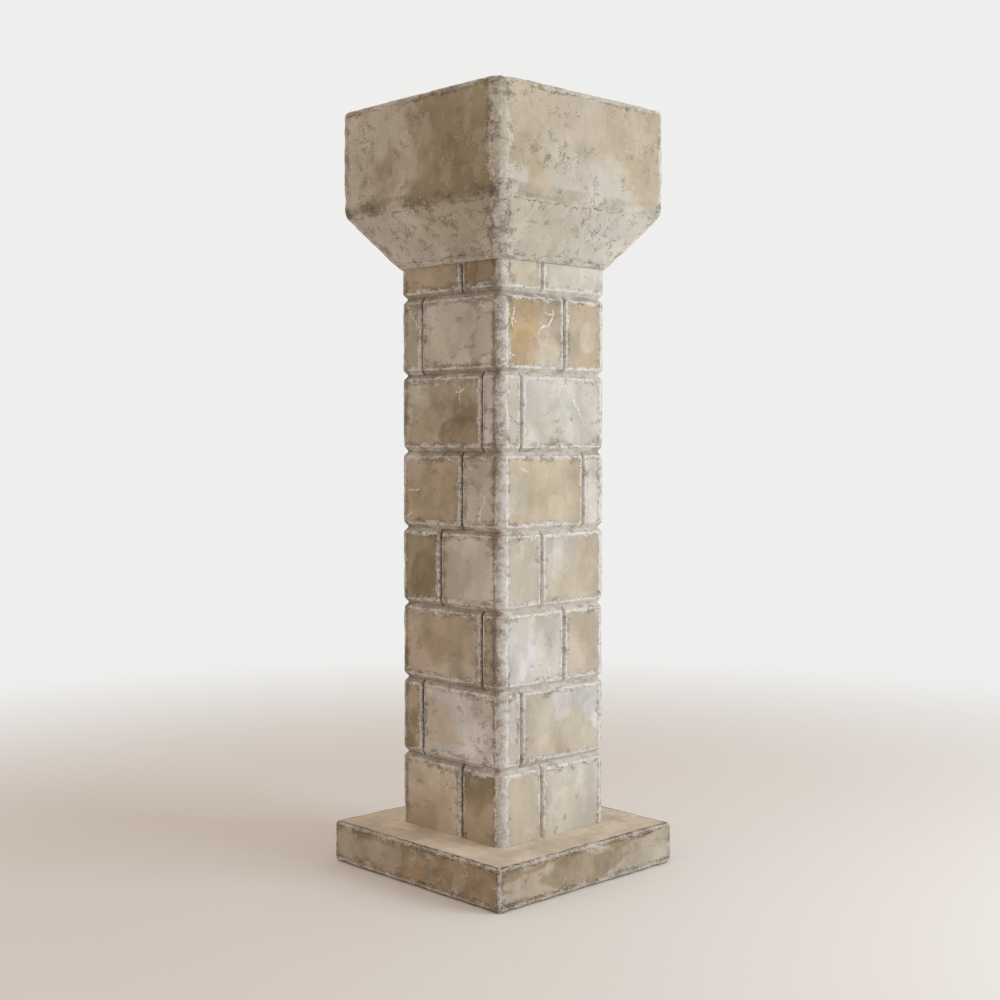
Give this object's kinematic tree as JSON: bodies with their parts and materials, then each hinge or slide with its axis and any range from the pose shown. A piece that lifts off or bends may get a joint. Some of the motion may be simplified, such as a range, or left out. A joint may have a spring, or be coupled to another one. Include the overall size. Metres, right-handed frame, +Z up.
{
  "type": "square ashlar column",
  "caption": "Square free-standing stone column in coursed ashlar on a low plinth slab, with a massive splayed block capital.",
  "frame": {"origin": "middle of the plinth's underside, on the ground", "axes": "+Z up along the shaft; the faces are square to X and Y, and -Y is called the front, +X the right"},
  "size_m": [0.96, 0.96, 2.984],
  "materials": {
    "limestone_pale": "dry hewn limestone, pale cream with whitened arrises and grey grime in the joints",
    "limestone_buff": "dry hewn limestone, buff with soft ochre clouds and whitened arrises",
    "limestone_tan": "dry hewn limestone, tan and grey-brown with whitened arrises",
    "limestone_umber": "dry hewn limestone, stained umber brown with whitened arrises",
    "limestone_capital": "dry pitted limestone, cream with ochre and olive-brown stains and a line of dark grime",
    "limestone_plinth": "dry worn limestone, grey-brown faces with dark speckled grime along the arrises"
  },
  "bodies": {
    "root": {"plinth": "limestone_plinth", "course_1_front_right": "limestone_tan", "course_1_back_right": "limestone_pale", "course_1_back_left": "limestone_tan", "course_1_front_left": "limestone_buff", "course_2_front_right": "limestone_pale", "course_2_back_right": "limestone_pale", "course_2_back_left": "limestone_buff", "course_2_front_left": "limestone_umber", "course_3_front_right": "limestone_pale", "course_3_back_right": "limestone_buff", "course_3_back_left": "limestone_pale", "course_3_front_left": "limestone_tan", "course_4_front_right": "limestone_buff", "course_4_back_right": "limestone_buff", "course_4_back_left": "limestone_tan", "course_4_front_left": "limestone_umber", "course_5_front_right": "limestone_buff", "course_5_back_right": "limestone_pale", "course_5_back_left": "limestone_buff", "course_5_front_left": "limestone_tan", "course_6_front_right": "limestone_pale", "course_6_back_right": "limestone_pale", "course_6_back_left": "limestone_buff", "course_6_front_left": "limestone_tan", "course_7_front_right": "limestone_buff", "course_7_back_right": "limestone_buff", "course_7_back_left": "limestone_tan", "course_7_front_left": "limestone_tan", "course_8_front_right": "limestone_tan", "course_8_back_right": "limestone_pale", "course_8_back_left": "limestone_buff", "course_8_front_left": "limestone_tan", "capital": "limestone_capital"}
  },
  "joints": []
}
